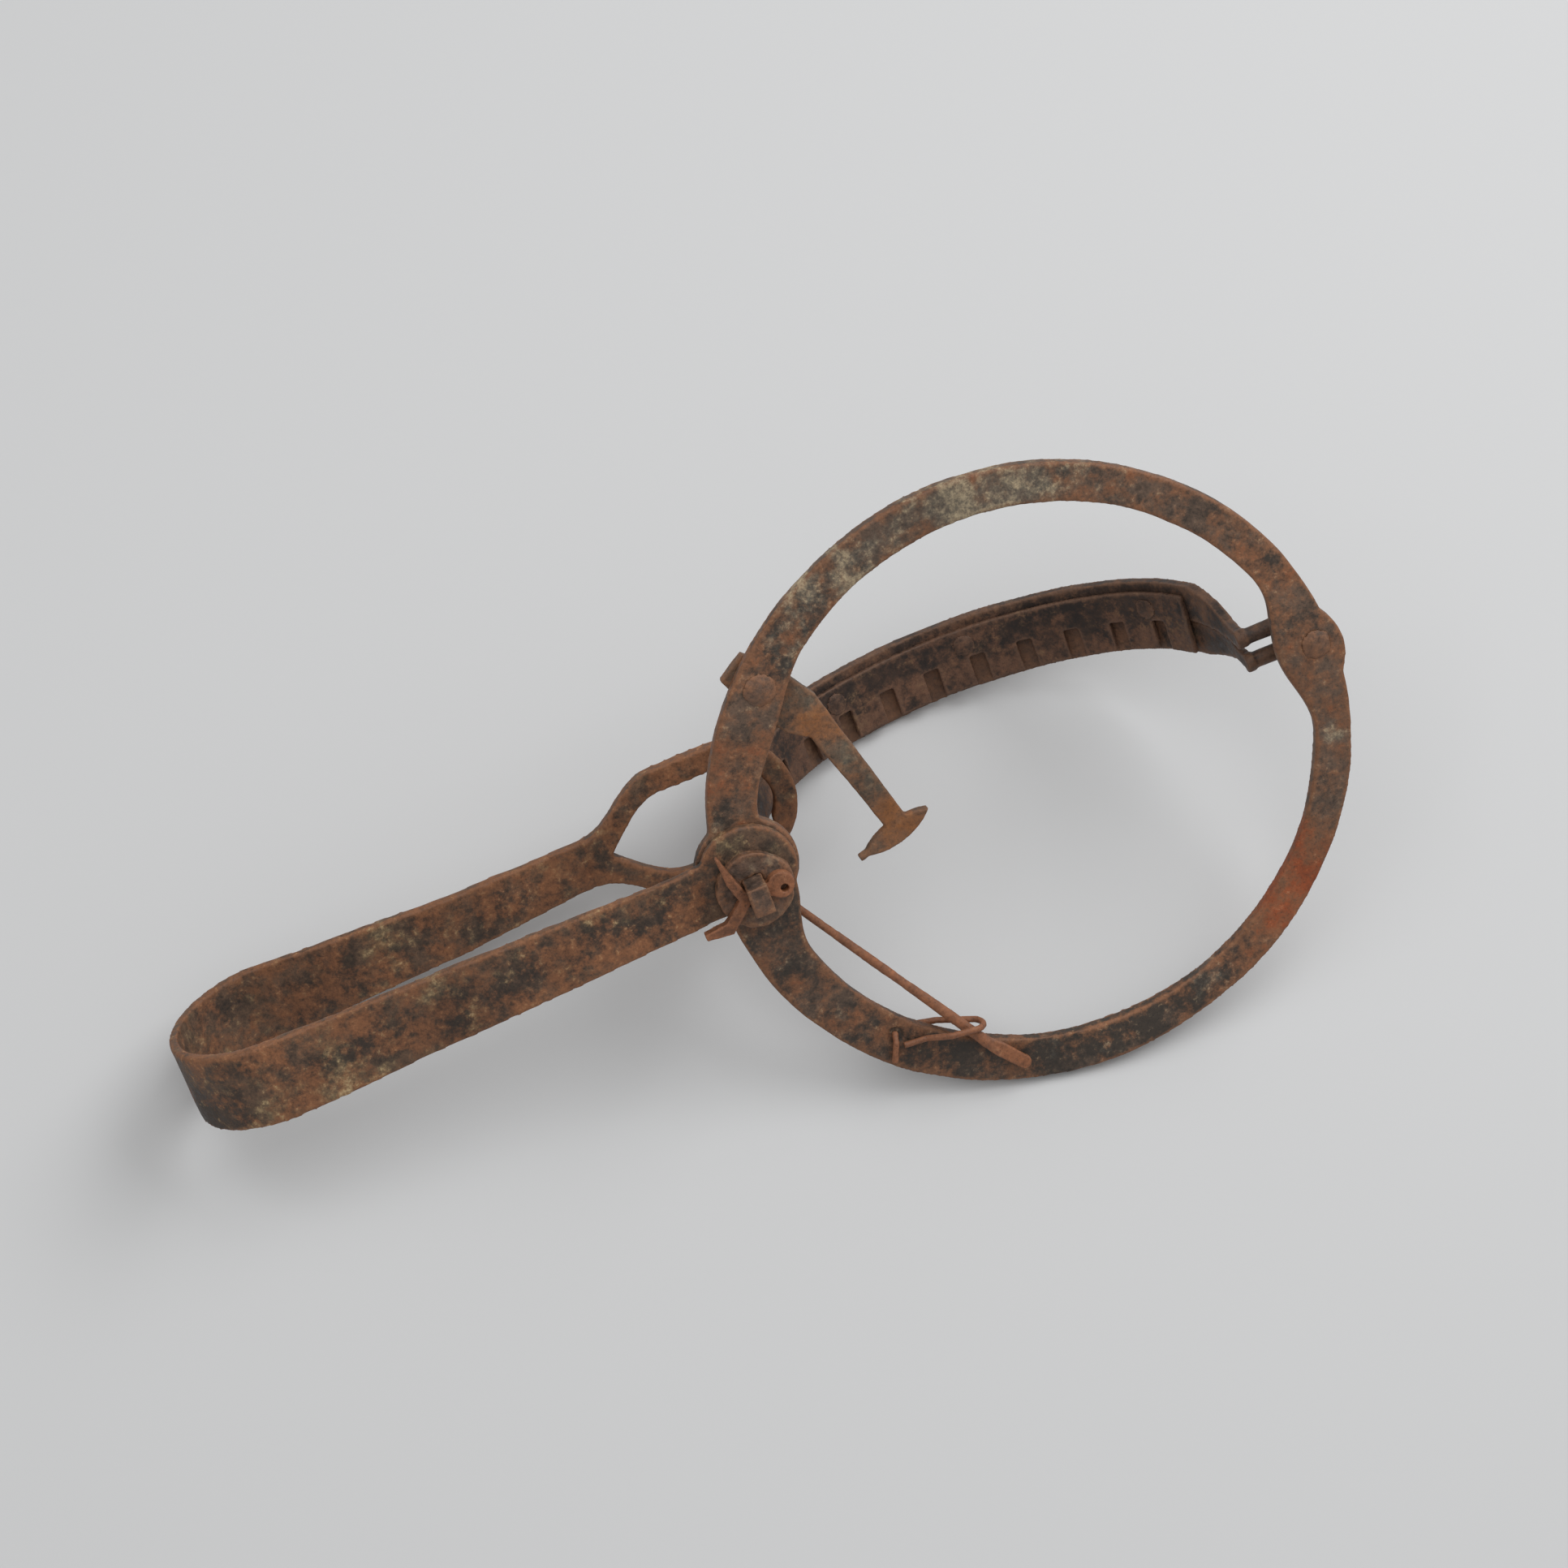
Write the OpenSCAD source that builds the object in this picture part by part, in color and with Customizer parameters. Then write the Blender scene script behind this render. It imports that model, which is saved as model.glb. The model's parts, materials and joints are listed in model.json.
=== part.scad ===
// Leghold trap, hand forged, with one long spring, closed and lying on its side.
// Every piece is drawn in the trap's own frame: x runs from the spring to the far post,
// y across the jaws to the dog's side, z from the ring's underside up to the jaws.
// as_it_lies() then sets the closed trap down on ring, lower jaw and spring bend.

/* [Ring] */
// Mean radius of the ring's flat bar
ring_r = 117.5; // [108:0.5:126]
// Width of the bar
ring_w = 14.8; // [13:0.1:18]
// Thickness of the bar
ring_t = 5.5; // [4.5:0.1:7]
// Distance of the ring's centre from the jaw axis, to the dog's side
ring_off = 9; // [0:0.5:12]
// Extra breadth forged into the bar between dog and near post
ring_swell = 5.5; // [2:0.25:7]
// Extra breadth forged into the bar at the pan arm
arm_swell = 1.5; // [0.5:0.25:3]
// Radius of the boss at the near post
near_boss_r = 20.5; // [18:0.5:22]
// Shift of the near boss and the spring's disc away from the dog's side
near_boss_off = 2; // [0:0.25:4]
// Radius of the boss at the far post
far_boss_r = 24; // [22:0.5:26]
// Shift of the far boss towards the ring's inside
far_boss_in = 13; // [11:0.25:15]
// Shift of the far boss towards the dog's side
far_boss_off = 2.5; // [0:0.25:4]
// Depth of the near boss's root on the inside of the bar
near_boss_depth = 9.2; // [6:0.1:11]
// Half of the angle over which that root runs out
near_boss_run = 18; // [14:0.5:22]
// Depth of the far boss inside the ring's bar
far_boss_depth = 8.2; // [5:0.1:10]
// Half of the angle over which the far boss runs out
far_boss_run = 18; // [14:0.5:24]
// Extra breadth of the bar on its inside, from near boss to pan arm
broad_in = 3.8; // [1:0.1:5]

/* [Posts] */
// Width of each post across the jaws
post_w = 24; // [22:0.5:27]
// Thickness of each post along the jaw axis
post_t = 9; // [8:0.5:11]
// Height of the jaw pivots over the ring's underside
pivot_z = 19; // [17:0.5:21]
// Distance between the two jaw pivots
pivot_gap = 10.5; // [9.5:0.5:12]
// Width of the near post's flat tenon
tenon_w = 12; // [10:0.5:14]
// Thickness of the near post's flat tenon
tenon_t = 8; // [6:0.5:8]
// Sideways place of the near post's tenon
tenon_off = 4; // [0:0.5:5]
// Length of the near tenon past the washer
tenon_out = 11.5; // [9:0.5:14]
// Diameter of the far post's round tenon
far_tenon_d = 9; // [7:0.5:11]
// Diameter of the far tenon's hammered head
far_head_d = 13; // [12:0.5:18]
// Height of the far tenon's hammered head
far_head_h = 1.6; // [1:0.1:4]

/* [Jaws] */
// Height of the jaws' crown over the pivots
jaw_rise = 103; // [98:1:108]
// Place of the crown along the jaw axis
crown_x = -12; // [-16:1:-8]
// Outer radius of the crown
crown_r = 128; // [124:1:140]
// Outer radius of the two shoulders
shoulder_r = 80; // [70:1:84]
// Thickness of the upper jaw's band
jaw_a_t = 4.5; // [3.5:0.1:5.5]
// Width of the upper jaw's band
jaw_a_w = 16; // [13:0.1:17]
// Thickness of the lower jaw's band
jaw_b_t = 3.2; // [2.5:0.1:3.4]
// Width of the lower jaw's band
jaw_b_w = 15; // [12:0.1:16]
// Gap between the closed bands
jaw_gap = 0.6; // [0.4:0.1:1.5]
// Width of the narrow leg below each band
leg_w = 7; // [6:0.25:7.5]
// Diameter of the round end of each leg, at its pin
leg_end_d = 8; // [7.6:0.1:9]
// Height over which each band narrows to its far leg
taper_h = 27; // [20:1:32]
// Height of the narrow near legs over the pivots, room for the pressed eye
near_leg_h = 29; // [25:0.5:34]
// Gap from near post to the jaws' near legs
near_leg_gap = 2; // [1:0.5:4]
// Gap from far post to the jaws' far legs
far_leg_gap = 17; // [10:0.5:18]
// Diameter of the jaws' pivot pins
pin_d = 6.6; // [5:0.1:7.4]
// Radial clearance of the pins in the posts
pin_clear = 0.08; // [0.05:0.01:0.1]
// Length of each pin past its post
pin_out = 1.5; // [0.5:0.5:3]

/* [Tooth strip] */
// Thickness of the toothed strip
strip_t = 2.2; // [1.5:0.1:2.6]
// Distance of the strip's back edge from the upper jaw's free edge
strip_inset = 4; // [2:0.25:6]
// Length of the strip from the crown towards the far post
strip_far = 118; // [112:1:122]
// Length of the strip from the crown towards the near post
strip_near = 92; // [86:1:95]
// Length of the teeth past the meeting line of the jaws
tooth_l = 13; // [9:0.5:13.5]
// Width of one tooth
tooth_w = 14; // [10:0.5:14.5]
// Distance from tooth to tooth
tooth_pitch = 20.5; // [18:0.5:21]
// Count of the teeth
tooth_n = 10; // [3:1:10]
// Distance of the first tooth's far side from the strip's far end
tooth_first = 0.5; // [0:0.5:6]
// Diameter of the strip's rivets
strip_rivet_d = 5; // [4:0.5:6]
// Diameter of their heads
strip_head_d = 10; // [8:0.5:12]
// Height of their heads
strip_head_h = 1; // [0.6:0.1:1.6]

/* [Spring] */
// Thickness of the spring strap
strap_t = 4.2; // [3.5:0.1:5]
// Width of the strap at its bend
bend_w = 32.5; // [30:0.5:36]
// Outer radius of the bend
bend_r = 36.9; // [35:0.1:42]
// Distance from near post to the middle of the bend
leaf_l = 192; // [170:1:220]
// Length over which the strap keeps its full width before the bend
bend_flat = 12; // [4:1:20]
// Slope of the lower leaf away from the ring
lower_slope = 3.4; // [3:0.1:4.6]
// Step of the lower leaf down from its disc
joggle = 2.2; // [0.5:0.1:4]
// Length of that step
joggle_l = 8; // [5:0.5:12]
// Radius of the disc at the lower leaf's end
disc_r = 19; // [16:0.5:20]
// Width of the lower leaf at its disc
lower_w = 23.5; // [20:0.5:27]
// Width of the upper leaf at its neck
neck_w = 20; // [16:0.5:24]
// Distance from bend to the knee of the upper leaf
knee_l = 80; // [60:1:95]
// Rise of the upper leaf from bend to knee
knee_rise = 1.5; // [0:0.1:3]
// Width of the upper leaf at its knee
knee_w = 24.5; // [22:0.5:30]
// Length of the neck behind the eye's crotch
neck_l = 9; // [5:0.5:12]
// Height of the eye over the jaw pivots
eye_rise = 46; // [42:0.5:49]
// Outer half width of the eye
eye_r = 28; // [26.5:0.5:31]
// Width of the eye's bar
eye_bar = 10; // [8:0.5:10.5]
// Thickness of the eye's bar
eye_t = 6; // [4.5:0.5:7]
// Distance of the eye's round end from the near post, inside
eye_reach = 22; // [20:0.5:24]
// Inner length of the eye
eye_l = 68; // [62:1:74]
// Length over which the eye's outside widens from its crotch
eye_flare = 25; // [20:0.5:30]
// Length over which the eye's inside widens from its crotch
crotch_l = 28; // [24:0.5:34]
// Distance of the eye's flat inner end from the middle of its round end
eye_flat = 14.5; // [13.5:0.25:16]
// Thickness of the washer under the cotter
washer_t = 4; // [2.5:0.1:4.5]
// Radius of the washer
washer_r = 15.3; // [13:0.1:17]

/* [Cotter] */
// Thickness of the cotter's strip
cotter_t = 2.8; // [1.8:0.1:3]
// Breadth of the cotter's strip
cotter_b = 4; // [3:0.1:5]
// Length of the long leg from tenon to knee
cotter_first = 13; // [9:0.5:15]
// Length of the long leg past its knee
cotter_long = 10; // [6:0.5:14]
// Spread of the long leg up to its knee
cotter_spread = 37; // [20:1:42]
// Width of the long leg at its knee
cotter_knee_w = 5.2; // [3:0.1:6]
// Length of the turned leg past the tenon
cotter_short = 18.5; // [12:0.5:20]
// Turn of the turned leg from the long leg's end
cotter_turn = 80; // [70:1:84]
// Width of the turned leg at its broadest
cotter_leaf_w = 3.8; // [3:0.1:5]

/* [Pan arm] */
// Angle of the pan arm's rivet round the ring
arm_ang = 221; // [216:0.5:226]
// Width of the arm at its rivet
arm_w = 18.5; // [16:0.5:20]
// Width of the arm at its elbow
arm_mid_w = 11; // [9:0.5:13]
// Width of the arm at its crossbar
arm_tip_w = 9; // [8:0.5:11]
// Width of the arm's back end
arm_back_w = 13; // [10:0.5:15]
// Thickness of the arm
arm_t = 4; // [3:0.1:4.6]
// Length of the arm behind its rivet
arm_back = 12.5; // [10:0.5:16]
// Length from rivet to elbow
arm_first = 31; // [28:1:35]
// Length over which the arm narrows before its elbow
arm_shoulder = 10; // [7:0.5:14]
// Direction of the arm at its rivet
arm_dir = 56.5; // [53:0.5:60]
// Bend of the arm at its elbow
arm_bend = 17; // [12:1:22]
// Length from elbow to crossbar
arm_second = 54; // [48:1:58]
// Length of the crossbar
bar_l = 31; // [24:0.5:36]
// Distance of the crossbar's middle from the arm's line, to the near post
bar_off = 2.5; // [0:0.25:4]
// Width of the crossbar at its middle
bar_w = 9; // [7:0.5:12]
// Diameter of the nub at the crossbar's end
nub_d = 3.4; // [2:0.1:3.8]
// Diameter of the arm's rivet
arm_rivet_d = 8; // [6:0.5:9]
// Diameter of its heads
arm_head_d = 14; // [12:0.5:16]
// Height of its heads
arm_head_h = 1.8; // [1:0.1:3]

/* [Dog] */
// Diameter of the dog's rod at its flat end
dog_d = 4.6; // [3.6:0.1:5]
// Diameter of the rod at its point
dog_tip_d = 2.6; // [2:0.1:3.4]
// Length of the straight rod
dog_l = 108; // [96:1:114]
// Length of the flat end
dog_flat_l = 18; // [12:0.5:22]
// Width of the flat end
dog_flat_w = 5.6; // [5:0.1:8]
// Thickness of the flat end
dog_flat_t = 2.4; // [1.8:0.1:3]
// Turn of the flat end from the rod
dog_turn = -6.5; // [-10:0.5:0]
// Angle of the dog's flat end round the ring
dog_ang = 113.5; // [111:0.5:115]
// Direction of the rod across the ring
dog_dir = 238; // [235:0.5:241]
// Height of the rod's point over its resting gap
dog_lift = 1.6; // [1.3:0.1:2.4]
// Gap of the dog to the ring's faces
dog_gap = 0.4; // [0.3:0.05:1]
// Diameter of the tie wire
wire_d = 2.7; // [2:0.1:3.2]
// Diameter of the hole for the tie wire
hole_d = 6.5; // [5:0.1:8]
// Angle of that hole round the ring
hole_ang = 137.5; // [134:0.5:142]
// Room of the wire's loop round the rod
loop_gap = 1.3; // [1.2:0.05:2]
// Distance of the loop along the rod
loop_s = 12; // [10:0.5:15]
// Sideways distance of the wire's other end from its hole
strand_off = 4.6; // [3.5:0.1:6]
// Direction of the wire's stub across the bar
stub_ang = 112; // [104:1:136]
// Length of the wire's stub
stub_l = 11; // [8:0.5:16]

/* [Hidden] */
$fn = 64;
fit = 0.12;
touch = 0.02;
past = 1;

// ring and posts
ring_out = ring_r + ring_w / 2;
ring_in = ring_r - ring_w / 2;
post_x = sqrt(ring_r * ring_r - ring_off * ring_off);
function on_ring(a, r) = [r * cos(a), ring_off + r * sin(a)];
arm_rivet = on_ring(arm_ang, ring_r);
wire_hole = on_ring(hole_ang, ring_r);
swell_dir = 166;
arm_swell_dir = 226;
rim_c = [for (w = [[0, 0], [ring_swell, swell_dir], [arm_swell, arm_swell_dir]])
    [w[0] * cos(w[1]), ring_off + w[0] * sin(w[1])]];
near_boss_dir = 180;
far_boss_dir = 355.5;
broad_dir = 215;
broad_run = 18;
rim_n = 160;
function off_by(a, dir) = abs((a - dir + 540) % 360 - 180);
function hump(a, dir, run) = off_by(a, dir) < run ? pow(cos(90 * off_by(a, dir) / run), 2) : 0;
function inner_r(a) = ring_in - far_boss_depth * hump(a, far_boss_dir, far_boss_run)
    - near_boss_depth * hump(a, near_boss_dir, near_boss_run) - broad_in * hump(a, broad_dir, broad_run);
inner_rim = [for (i = [0:rim_n - 1]) let (a = i * 360 / rim_n) on_ring(a, inner_r(a))];
post_round = (post_w - pivot_gap) / 2;
hole_r = pin_d / 2 + pin_clear;

// jaws: one crown arc and two shoulder arcs, tangent to each other and to upright legs
leg_far_x = post_x - post_t / 2 - far_leg_gap;
leg_near_x = -post_x + post_t / 2 + near_leg_gap;
crown_c = [crown_x, pivot_z + jaw_rise - crown_r];
function shoulder_z(x) = crown_c[1] + sqrt(pow(crown_r - shoulder_r, 2) - pow(x - crown_x, 2));
far_c = [leg_far_x - shoulder_r, shoulder_z(leg_far_x - shoulder_r)];
near_c = [leg_near_x + shoulder_r, shoulder_z(leg_near_x + shoulder_r)];
far_a = atan2(far_c[1] - crown_c[1], far_c[0] - crown_c[0]);
near_a = atan2(near_c[1] - crown_c[1], near_c[0] - crown_c[0]);
leg_a = 180 - asin((pivot_z + near_leg_h - near_c[1]) / shoulder_r);

// places along the arch are lengths on the strip's seat from the crown, positive to the near side
strip_r = crown_r - jaw_a_t;
strip_s = shoulder_r - jaw_a_t;
function deg(l, r) = l / r * 180 / PI;
function arc(a, r) = a * r * PI / 180;
arc_far = arc(90 - far_a, strip_r);
arc_near = arc(near_a - 90, strip_r);
function seat_c(s) = s < -arc_far ? far_c : s > arc_near ? near_c : crown_c;
function seat_r(s) = s < -arc_far || s > arc_near ? shoulder_r : crown_r;
function seat_a(s) = s < -arc_far ? far_a + deg(s + arc_far, strip_s)
    : s > arc_near ? near_a + deg(s - arc_near, strip_s) : 90 + deg(s, strip_r);
function on_arch(s, inset) = seat_c(s) + (seat_r(s) - inset) * [cos(seat_a(s)), sin(seat_a(s))];

// the bands are bent in short flats, the same for jaws and strip, so that they lie flat together
band_far = -arc_far - arc(far_a, strip_s);
band_near = arc_near + arc(leg_a - near_a, strip_s);
band_n = 60;
band_step = (band_near - band_far) / band_n;
function on_flats(s, inset) = let (u = (s - band_far) / band_step, i = floor(u + 0.0001), f = u - i)
    (1 - f) * on_arch(band_far + i * band_step, inset) + f * on_arch(band_far + (i + 1) * band_step, inset);
function places(s0, s1) = concat([s0], [for (i = [0:band_n]) let (s = band_far + i * band_step)
    if (s > s0 + touch && s < s1 - touch) s], [s1]);
function band_plan(s0, s1, out, inside) = let (w = places(s0, s1)) concat([for (s = w) on_flats(s, out)],
    [for (s = backwards(w)) on_flats(s, inside)]);
taper_step = 0.3;
function taper_plan(edge, side) =
    let (leg = side * (pivot_gap / 2 + leg_w / 2 + taper_step), out = edge + side * past)
    [[leg, far_c[1] - past], [leg, far_c[1]], [edge, far_c[1] + taper_h], [out, far_c[1] + taper_h],
        [out, far_c[1] - past]];
strip_back = -jaw_gap / 2 - jaw_a_w + strip_inset;
strip_root = jaw_gap / 2;
rivet_y = strip_back + (strip_root - strip_back) * 0.55;
rivet_places = [-96, -14.5, 45.5];
head_seat = strip_head_d * strip_head_d / 8 / (strip_s - strip_t) + touch;

// spring
bend_x = -post_x - leaf_l;
step_x = -post_x - disc_r;
leaf_z = -strap_t - joggle;
function lower_z(x) = leaf_z + (x - (step_x - joggle_l)) * tan(lower_slope);
bend_z = lower_z(bend_x) + bend_r / cos(lower_slope);
bend_in = bend_r - strap_t;
eye_z = pivot_z + eye_rise;
eye_end = -post_x + eye_reach;
eye_in = eye_r - eye_bar;
eye_c = eye_end - eye_in;
crotch_x = eye_end - eye_l;
neck_x = crotch_x - neck_l;
knee_x = bend_x + knee_l;
leaf_top = bend_z + bend_r;
bend_n = 36;
function round_bend(r) = [for (i = [0:bend_n]) let (a = lower_slope - 90 - i * (180 + lower_slope) / bend_n)
    [bend_x + r * cos(a), bend_z + r * sin(a)]];
function backwards(p) = [for (i = [len(p) - 1:-1:0]) p[i]];
lower_side = concat([[-post_x, -strap_t], [step_x, -strap_t], [step_x - joggle_l, leaf_z]],
    round_bend(bend_r), backwards(round_bend(bend_in)),
    [[step_x - joggle_l, leaf_z + strap_t / cos(lower_slope)], [step_x, 0], [-post_x, 0]]);
lower_plan = [[-post_x, lower_w / 2], [step_x, lower_w / 2], [bend_x + bend_flat, bend_w / 2],
    [bend_x - bend_r - past, bend_w / 2], [bend_x - bend_r - past, -bend_w / 2],
    [bend_x + bend_flat, -bend_w / 2],
    [step_x, -lower_w / 2], [-post_x, -lower_w / 2]];
knee_z = leaf_top + knee_rise;
upper_side = [[bend_x, leaf_top], [knee_x, knee_z], [neck_x, eye_z + strap_t / 2],
    [crotch_x - touch, eye_z + strap_t / 2], [crotch_x - touch, eye_z - strap_t / 2],
    [neck_x, eye_z - strap_t / 2], [knee_x, knee_z - strap_t], [bend_x, leaf_top - strap_t]];
upper_plan = [[bend_x, bend_w / 2], [knee_x, knee_w / 2], [neck_x, neck_w / 2],
    [crotch_x, neck_w / 2], [crotch_x, -neck_w / 2], [neck_x, -neck_w / 2],
    [knee_x, -knee_w / 2], [bend_x, -bend_w / 2]];
function both_sides(p) = concat(p, [for (q = backwards(p)) [q[0], -q[1]]]);
eye_n = 12;
flare_l = neck_l + eye_flare;
eye_plan = both_sides(concat([for (i = [0:eye_n]) [neck_x + flare_l * i / eye_n,
    neck_w / 2 + (eye_r - neck_w / 2) * (1 - cos(180 * i / eye_n)) / 2]], [[eye_c, eye_r]]));
crotch_plan = both_sides(concat([for (i = [0:eye_n]) [crotch_x + crotch_l * i / eye_n,
    max(touch, eye_in * sin(90 * i / eye_n))]], [[eye_c + eye_flat, eye_in]]));

// cotter, washer and tenon
washer_z = -strap_t - washer_t;
cotter_z = washer_z - fit - cotter_b / 2;
tenon_end = washer_z - tenon_out;
slot_h = cotter_b + 2 * fit;
slot_b = 2 * cotter_t + 2 * fit;
curl_r = cotter_t * 1.9;
curl_hole = cotter_t * 0.55;
curl_hole_at = cotter_t * [0.3, 0.6];
curl_n = 24;
curl_a = 180 - asin(cotter_t / curl_r);
curl_c = [tenon_t / 2 + fit + curl_r, 0];
leg_root = [-tenon_t / 2 - fit, cotter_t / 2];
leg_knee = leg_root + cotter_first * [-cos(cotter_spread), sin(cotter_spread)];
knee_side = cotter_knee_w / 2 * [sin(cotter_spread / 2), cos(cotter_spread / 2)];
leg_end = leg_knee - [cotter_long, 0];
leg_split = leg_root - cotter_t * [1.2, 0.5];
leaf_root = leg_root - cotter_t * [1, 1];
leaf_broad = cotter_short * 0.38;
leaf_tip = cotter_leaf_w / 4;
function on_leaf(l, w) = leaf_root - l * [cos(cotter_turn), sin(cotter_turn)]
    + w / 2 * [-sin(cotter_turn), cos(cotter_turn)];
cotter_plan = concat([for (i = [0:curl_n]) let (a = curl_a * (2 * i / curl_n - 1))
        curl_c + curl_r * [cos(a), sin(a)]],
    [leg_root + [0, cotter_t / 2], leg_knee + knee_side, leg_end + [0, cotter_t / 2],
        leg_end - [0, cotter_t / 2], leg_knee - knee_side, leg_split,
        on_leaf(leaf_broad, cotter_leaf_w), on_leaf(cotter_short, leaf_tip),
        on_leaf(cotter_short, -leaf_tip), on_leaf(leaf_broad, -cotter_leaf_w),
        leg_root - [0, 1.5 * cotter_t]]);

// pan arm, one outline round bar, elbow and pointed crossbar
arm_z = ring_t;
function turn(p, a) = [p[0] * cos(a) - p[1] * sin(a), p[0] * sin(a) + p[1] * cos(a)];
function from_rivet(x, y) = arm_rivet + turn([x, y], arm_dir);
elbow = from_rivet(arm_first, 0);
arm_dir2 = arm_dir + arm_bend;
function from_elbow(x, y) = elbow + turn([x, y], arm_dir2);
bar_at = from_elbow(arm_second, bar_off);
lens_r = (bar_l * bar_l / 4 + bar_w * bar_w / 4) / bar_w;
lens_a = asin(bar_l / 2 / lens_r);
function stem_a(side) = asin((side * arm_tip_w / 2 - bar_off) / lens_r);
lens_n = 8;
mitre = arm_mid_w / 2 * tan(arm_bend / 2);
arm_taper = arm_first - arm_shoulder;
function on_lens(a, side) = from_elbow(arm_second + side * (bar_w / 2 - lens_r * (1 - cos(a))),
    bar_off + lens_r * sin(a));
arm_plan = concat([from_rivet(-arm_back, -arm_back_w / 2), from_rivet(0, -arm_w / 2),
        from_rivet(arm_taper, -arm_w / 2), from_elbow(-mitre, -arm_mid_w / 2)],
    [for (i = [0:lens_n]) on_lens(stem_a(-1) - (lens_a + stem_a(-1)) * i / lens_n, -1)],
    [for (i = [1:2 * lens_n - 1]) on_lens(-lens_a + lens_a * i / lens_n, 1)],
    [for (i = [lens_n:-1:0]) on_lens(stem_a(1) + (lens_a - stem_a(1)) * i / lens_n, -1)],
    [from_elbow(mitre, arm_mid_w / 2), from_rivet(arm_taper, arm_w / 2), from_rivet(0, arm_w / 2),
        from_rivet(-arm_back, arm_back_w / 2)]);

// dog: flat end on the ring's underside, straight rod up behind the broad stretch
dog_tail = on_ring(dog_ang, ring_r);
dog_u = [cos(dog_dir), sin(dog_dir)];
tail_z = -dog_gap - dog_d / 2;
flat_inside = 0.75;
flat_run = dog_flat_l / 3;
flat_n = 12;
flat_plan = concat([for (i = [0:flat_n]) let (a = 90 + i * 180 / flat_n)
        [-dog_flat_l + dog_flat_w / 2 * cos(a), dog_flat_w / 2 * sin(a)]],
    [[-flat_run, -dog_flat_w / 2], [flat_run, -dog_d / 4], [flat_run, dog_d / 4],
        [-flat_run, dog_flat_w / 2]]);
dog_start = dog_tail + dog_flat_l * flat_inside * dog_u;
tip_z = ring_t + dog_gap + dog_tip_d / 2 + dog_lift;
dog_rise = asin((tip_z - tail_z) / dog_l);
dog_v = [dog_u[0] * cos(dog_rise), dog_u[1] * cos(dog_rise), sin(dog_rise)];
loop_at = [dog_start[0], dog_start[1], tail_z] + loop_s * dog_v;
link_v = [loop_at[0] - wire_hole[0], loop_at[1] - wire_hole[1]];
link_w = link_v / norm(link_v);
wire_r = wire_d / 2;
loop_r = dog_d / 2 + loop_gap + wire_r;
front_z = -wire_r - dog_gap;
rear_z = ring_t + wire_r + dog_gap;
link_l = norm(link_v);
stub_dir = [cos(stub_ang), sin(stub_ang)];
stub_start = wire_hole + wire_d * stub_dir;
stub_end = wire_hole + stub_l * stub_dir;
function link_pt(s, z) = [wire_hole[0] + s * link_w[0], wire_hole[1] + s * link_w[1], z];
function strand_pt(s, z) = link_pt(s, z) + strand_off * (1 - s / link_l) * [-link_w[1], link_w[0], 0];
link_turn = [for (a = [90:-22.5:-90]) loop_at + (wire_d + loop_r * cos(a)) * [link_w[0], link_w[1], 0]
    + [0, 0, loop_r * sin(a)]];
link_route = concat(
    [[stub_end[0], stub_end[1], front_z], [stub_start[0], stub_start[1], front_z]],
    [for (z = [0.2, 0.8]) [wire_hole[0], wire_hole[1], ring_t * z]],
    [link_pt(1.2 * wire_d, rear_z), link_pt(link_l - 3.4 * wire_d, rear_z),
        link_pt(link_l - 1.2 * wire_d, (rear_z + loop_at[2] + loop_r) / 2)],
    link_turn,
    [strand_pt(link_l - 2.4 * wire_d, min(loop_at[2] - loop_r, front_z)),
        strand_pt(4.4 * wire_d, front_z), strand_pt(wire_d, front_z)]);

// how it lies: the plane that the ring's rim, the lower jaw's edge and the bend's edge share
edge_y = jaw_gap / 2 + jaw_b_w;
function ring_low(d) = let (h = unit([d[0], d[1]]), reach = [for (c = rim_c) c * h],
    c = rim_c[search(max(reach), reach)[0]])
    [c[0] + ring_out * h[0], c[1] + ring_out * h[1], ring_t];
function arch_low(d) = let (a = atan2(d[2], d[0]),
    c = a < far_a ? far_c : a > near_a ? near_c : crown_c,
    r = a < far_a || a > near_a ? shoulder_r : crown_r)
    [c[0] + r * cos(a), edge_y, c[1] + r * sin(a)];
function bend_low(d) = let (a = atan2(d[2], d[0]))
    [bend_x + bend_r * cos(a), bend_w / 2, bend_z + bend_r * sin(a)];
function unit(v) = v / norm(v);
function floor_dir(d, n) = n == 0 ? d : floor_dir(
    unit(cross(bend_low(d) - ring_low(d), arch_low(d) - ring_low(d))), n - 1);
down = floor_dir(unit([-0.2, 0.7, 0.7]), 30);
up = -down;
lie_x = atan2(up[1], up[2]);
lie_y = -atan2(up[0], norm([up[1], up[2]]));
floor_z = -(down * ring_low(down));
function turned(p) = let (q = [p[0], p[1] * cos(lie_x) - p[2] * sin(lie_x),
    p[1] * sin(lie_x) + p[2] * cos(lie_x)])
    [q[0] * cos(lie_y) + q[2] * sin(lie_y), q[1], -q[0] * sin(lie_y) + q[2] * cos(lie_y)];

// plan middle of the lying trap, from its outermost edges
far_edge = [for (a = [-70:1:70]) for (z = [0, ring_t])
    max(turned([post_x - far_boss_in + far_boss_r * cos(a), far_boss_off + far_boss_r * sin(a), z])[0],
        turned([ring_out * cos(a), ring_off + ring_out * sin(a), z])[0])];
bend_edge = [for (a = [90:1:270]) for (s = [-1, 1])
    turned([bend_x + bend_r * cos(a), s * bend_w / 2, bend_z + bend_r * sin(a)])[0]];
dog_side = [for (c = rim_c) for (a = [0:1:180]) for (z = [0, ring_t])
    turned([c[0] + ring_out * cos(a), c[1] + ring_out * sin(a), z])[1]];
back_side = [for (a = [60:1:120]) turned([crown_c[0] + crown_r * cos(a),
    -jaw_gap / 2 - jaw_a_w, crown_c[1] + crown_r * sin(a)])[1]];
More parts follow.
